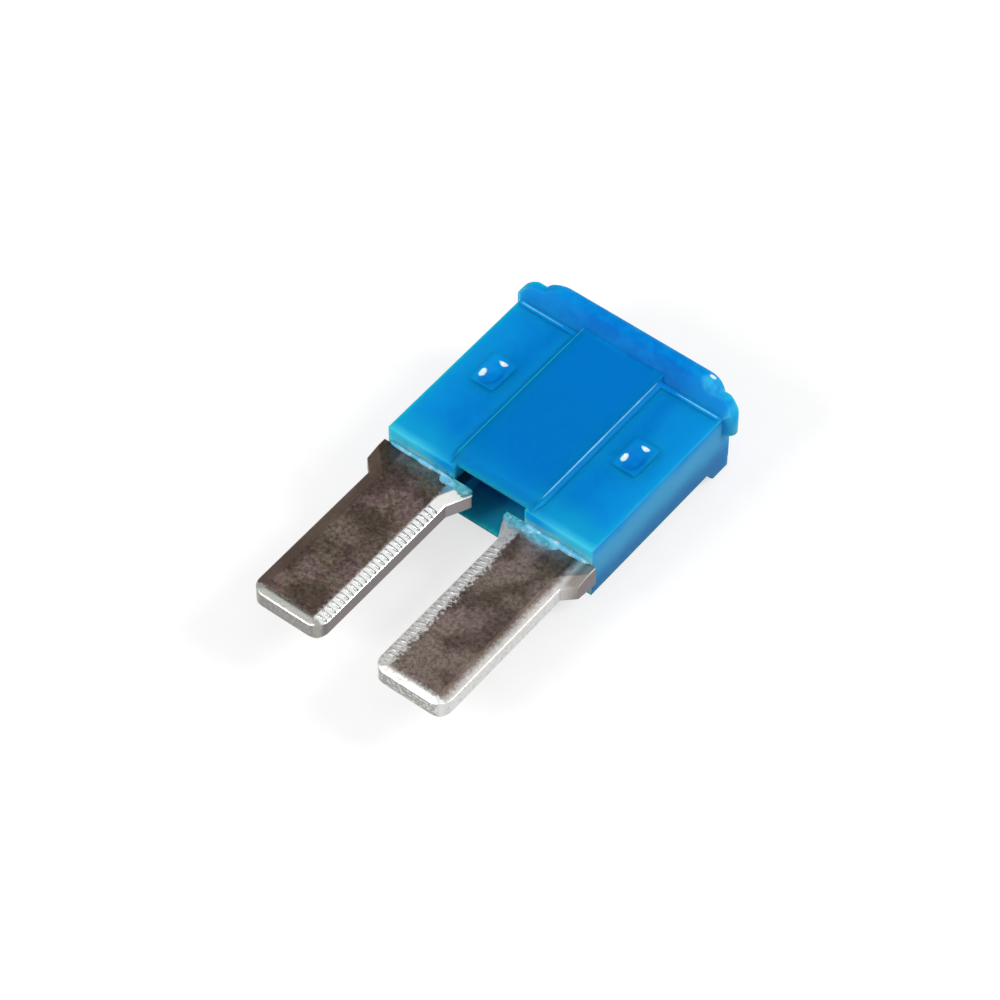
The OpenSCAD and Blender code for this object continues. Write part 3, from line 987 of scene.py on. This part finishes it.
class FUSE_OT_lines(bpy.types.Operator):
    """Raise the mould lines at the foot of the head and beside the panel, coloured pale as painted
    highlights
    """

    bl_idname = "fuse.lines"
    bl_label = "Mould lines"

    def execute(self, context):
        trim = context.scene.fuse_trim
        housing = context.scene.fuse_housing
        radius, foot = trim.line_radius / MM, housing.foot_along / MM
        body, panel = housing.body_side / MM, housing.panel_side / MM
        top = housing.body_top / MM
        panel_top = top + housing.panel_rise / MM
        solid = Solid()
        for side, seed in ((-1, 1.0), (1, 4.0)):
            start = Vector((side * (panel + 0.53), foot - 0.04, top))
            stop = Vector((side * (body - 0.08), foot - 0.04, top))
            wavy_bead(solid, start, stop, radius * 0.9, seed, first=0.35)
        start = Vector((0.2, foot + 0.29, panel_top + 0.005))
        stop = Vector((panel - 0.07, foot + 0.25, panel_top + 0.005))
        wavy_bead(solid, start, stop, radius * 0.7, 9.0, first=0.5)
        start = Vector((panel + 0.01, 0.2, panel_top - 0.05))
        stop = Vector((panel + 0.01, foot - 0.15, panel_top - 0.05))
        wavy_bead(solid, start, stop, radius * 0.9, 6.0, steps=60)
        # Painted highlight: the raised lines are coloured pale where the lamps catch the edges.
        line = pale_polyamide("Whitened line", trim.line, housing.pale, housing.pale, trim.glint, share=0.0)
        solid.piece("mould_lines_painted_highlight", line, "blue_polyamide")
        return {"FINISHED"}


def oval_ring(centre, half_width, half_length, level, power, uneven, seed, count=64):
    """A ring that is an oval at power 1 and nears a rectangle toward power 0."""
    ring = []
    for k in range(count):
        turn = 2 * math.pi * k / count
        c, s = math.cos(turn), math.sin(turn)
        x = math.copysign(abs(c) ** power, c) * half_width
        y = math.copysign(abs(s) ** power, s) * half_length
        rough = uneven * wander(x * 3 + seed, y * 3, 0)
        ring.append(centre + Vector((x, y, level + rough)))
    return ring


class FUSE_OT_bowls(bpy.types.Operator):
    """Round the two staked dimples into smooth bowls"""

    bl_idname = "fuse.bowls"
    bl_label = "Dimple bowls"

    def execute(self, context):
        trim = context.scene.fuse_trim
        housing = context.scene.fuse_housing
        wide, long = trim.bowl_width / MM / 2, trim.bowl_length / MM / 2
        top, depth, wall = housing.body_top / MM, trim.bowl_depth / MM, trim.bowl_wall / MM
        foot, rim = top - trim.bowl_foot / MM, top + 0.001
        inward = wide - 0.08
        # Inset, level, power and unevenness of the rings, from the hidden foot to the rim
        profile = [
            (wide - 0.02, foot, 1.0, 0.0),
            (0.13, foot, 0.4, 0.0),
            (0.14, top - 0.12, 0.3, 0.0),
            (0.0, top - 0.02, 0.2, 0.0),
            (0.0, rim, 0.2, 0.0),
            (0.05, rim, 0.5, 0.0),
        ]
        # The same from the rim down the wall to the middle of the bowl
        steps = 20
        for i in range(1, steps + 1):
            t = i / steps
            down = min(1.0, t * inward / wall)
            fall = down * down * (3 - 2 * down)
            power = 0.6 + 0.35 * min(1.0, 3 * t)
            profile.append((0.06 + t * inward, rim - depth * fall, power, 0.03 * fall))
        solid = Solid()
        for side in (-1, 1):
            centre = Vector((side * housing.dimple_side / MM, housing.dimple_along / MM, 0))
            rings = []
            for inset, level, power, uneven in profile:
                rings.append(oval_ring(centre, wide - inset, long - inset, level, power, uneven, side))
            solid.body(rings)
        skin = polyamide(housing, "Blue polyamide skin", scatter=0.0)
        solid.piece("dimple_bowls", skin, "blue_polyamide")
        return {"FINISHED"}


class FUSE_OT_fillets(bpy.types.Operator):
    """Fill the sharp inner corners beside the panel and at the foot of the head"""

    bl_idname = "fuse.fillets"
    bl_label = "Fillets"

    def execute(self, context):
        trim = context.scene.fuse_trim
        housing = context.scene.fuse_housing
        top, foot, end = housing.body_top / MM, housing.foot_along / MM, housing.end_along / MM
        panel, rise = housing.panel_side / MM, housing.panel_rise / MM
        outer = housing.body_side / MM - 0.04
        width, reach = trim.fillet_width / MM, trim.foot_fillet / MM
        face, sunk = top + 0.002, 0.02
        along_steps, across_steps, arc_steps = 40, 24, 6
        solid = Solid()
        for side in (-1, 1):
            rings = []
            for i in range(along_steps + 1):
                y = end + 0.06 + (foot + 0.35 - end) * i / along_steps
                share = min(1.0, (y - end) / 0.55)
                w, h = width * share, (rise - 0.03) * share
                ring = [Vector((side * (panel - sunk), y, top - sunk))]
                for k in range(arc_steps + 1):
                    turn = math.pi / 2 * k / arc_steps
                    x = panel + w - w * math.cos(turn) + (0.0 if k else -0.01)
                    ring.append(Vector((side * x, y, face + h - h * math.sin(turn))))
                ring.append(Vector((side * (panel + w), y, top - sunk)))
                rings.append(ring)
            solid.body(rings)
            rings = []
            for i in range(across_steps + 1):
                x = side * (panel + (outer - panel) * i / across_steps)
                ring = [Vector((x, foot + reach, top - 0.03))]
                for k in range(arc_steps + 1):
                    t = 1 - k / arc_steps
                    ring.append(Vector((x, foot - reach + 2 * reach * t, face + 0.5 * reach * t * t)))
                ring.append(Vector((x, foot - reach, top - 0.03)))
                rings.append(ring)
            solid.body(rings)
        skin = polyamide(housing, "Blue polyamide skin", scatter=0.0)
        solid.piece("corner_fillets", skin, "blue_polyamide")
        return {"FINISHED"}


def bearing(azimuth, elevation):
    """The unit vector towards a bearing and height in degrees; azimuth 0 is along -Y."""
    a, e = math.radians(azimuth), math.radians(elevation)
    return Vector((math.sin(a) * math.cos(e), -math.cos(a) * math.cos(e), math.sin(e)))


def add_lamp(name, towards, settings, target):
    """A square soft lamp that faces a point."""
    data = bpy.data.lights.new(name, "AREA")
    data.shape = "SQUARE"
    data.size = settings.lamp_size
    data.energy = settings.lamp_power
    lamp = bpy.data.objects.new(name, data)
    lamp.location = target + towards * settings.lamp_distance
    lamp.rotation_mode = "QUATERNION"
    lamp.rotation_quaternion = (-towards).to_track_quat("-Z", "Y")
    bpy.context.scene.collection.objects.link(lamp)
    return lamp


def add_sheet(name, centre, right, up, material):
    """A flat sheet about a point, for the studio; right and up reach from there to its edges."""
    corners = [centre - right - up, centre + right - up, centre + right + up, centre - right + up]
    mesh = bpy.data.meshes.new(name)
    mesh.from_pydata([tuple(c) for c in corners], [], [(0, 1, 2, 3)])
    mesh.materials.append(material)
    sheet = bpy.data.objects.new(name, mesh)
    bpy.context.scene.collection.objects.link(sheet)
    return sheet


def add_camera(settings):
    """The camera that sees the part as the photograph does."""
    data = bpy.data.cameras.new("Camera")
    data.lens = settings.lens
    data.sensor_width = 36.0
    data.clip_start = 0.01
    data.clip_end = 20.0
    camera = bpy.data.objects.new("Camera", data)
    back = bearing(settings.azimuth, settings.elevation)
    right = (-back).cross(Vector((0, 0, 1))).normalized()
    up = right.cross(-back)
    roll = math.radians(settings.roll)
    turned_right = right * math.cos(roll) + up * math.sin(roll)
    turned_up = up * math.cos(roll) - right * math.sin(roll)
    axes = Matrix((turned_right, turned_up, back)).transposed()
    eye = Vector(settings.look_at) + back * settings.distance
    camera.matrix_world = Matrix.Translation(eye) @ axes.to_4x4()
    bpy.context.scene.collection.objects.link(camera)
    bpy.context.scene.camera = camera
    return camera


def add_world(settings):
    """White all round to the camera and in reflections, and plain soft light on the rest."""
    world = bpy.data.worlds.new("Studio")
    world.use_nodes = True
    world.node_tree.nodes.clear()
    graph = Graph(world.node_tree)
    strength = graph.blend(seen_directly(graph), settings.sky, 1.0)
    background = graph.node("Background", {"Color": (1.0, 1.0, 1.0, 1.0), "Strength": strength})
    output = graph.node("OutputWorld")
    graph.feed(output.inputs["Surface"], background.outputs[0])
    bpy.context.scene.world = world


class FUSE_OT_studio(bpy.types.Operator):
    """Build the floor, the lamps, the dark cloth and the camera"""

    bl_idname = "fuse.studio"
    bl_label = "Studio"

    def execute(self, context):
        settings = context.scene.fuse_studio
        context.scene.view_settings.view_transform = "Standard"
        add_camera(settings)
        add_world(settings)
        low, high = cad_box
        middle = (low + high) / 2
        half = settings.floor_half
        along_x, along_y = Vector((half, 0, 0)), Vector((0, half, 0))
        add_sheet("floor", Vector((0, 0, low.z)), along_x, along_y, paper(settings))
        for name, place in LAMPS.items():
            add_lamp(name, bearing(*place), settings, middle)
        towards = bearing(*CLOTH)
        side = towards.cross(Vector((0, 0, 1))).normalized()
        rise = side.cross(towards)
        add_sheet(
            "flag",
            middle + towards * settings.cloth_distance,
            side * settings.cloth_width / 2,
            rise * settings.cloth_height / 2,
            cloth(settings),
        )
        return {"FINISHED"}


class FUSE_PT_panel(bpy.types.Panel):
    """Lists the fuse's pieces and their settings"""

    bl_idname = "FUSE_PT_panel"
    bl_label = "Blade fuse"
    bl_space_type = "VIEW_3D"
    bl_region_type = "UI"
    bl_category = "Blade fuse"

    def draw(self, context):
        for operator, group in STEPS:
            box = self.layout.box()
            box.operator(operator.bl_idname)
            settings = getattr(context.scene, group)
            for name in settings.bl_rna.properties.keys():
                if name not in ("rna_type", "name"):
                    box.prop(settings, name)


STEPS = [
    (FUSE_OT_housing, "fuse_housing"),
    (FUSE_OT_conductor, "fuse_conductor"),
    (FUSE_OT_ribs, "fuse_conductor"),
    (FUSE_OT_lips, "fuse_trim"),
    (FUSE_OT_lines, "fuse_trim"),
    (FUSE_OT_bowls, "fuse_trim"),
    (FUSE_OT_fillets, "fuse_trim"),
    (FUSE_OT_studio, "fuse_studio"),
]
GROUPS = {
    "fuse_housing": HousingSettings,
    "fuse_conductor": ConductorSettings,
    "fuse_trim": TrimSettings,
    "fuse_studio": StudioSettings,
}


def register():
    for name, group in GROUPS.items():
        bpy.utils.register_class(group)
        setattr(bpy.types.Scene, name, bpy.props.PointerProperty(type=group))
    for operator, _ in STEPS:
        bpy.utils.register_class(operator)
    bpy.utils.register_class(FUSE_PT_panel)


def unregister():
    bpy.utils.unregister_class(FUSE_PT_panel)
    for operator, _ in reversed(STEPS):
        bpy.utils.unregister_class(operator)
    for name, group in reversed(GROUPS.items()):
        delattr(bpy.types.Scene, name)
        bpy.utils.unregister_class(group)


def main():
    register()
    bpy.ops.fuse.housing()
    bpy.ops.fuse.conductor()
    bpy.ops.fuse.ribs()
    bpy.ops.fuse.lips()
    bpy.ops.fuse.lines()
    bpy.ops.fuse.bowls()
    bpy.ops.fuse.fillets()
    bpy.ops.fuse.studio()


if __name__ == "__main__":
    main()
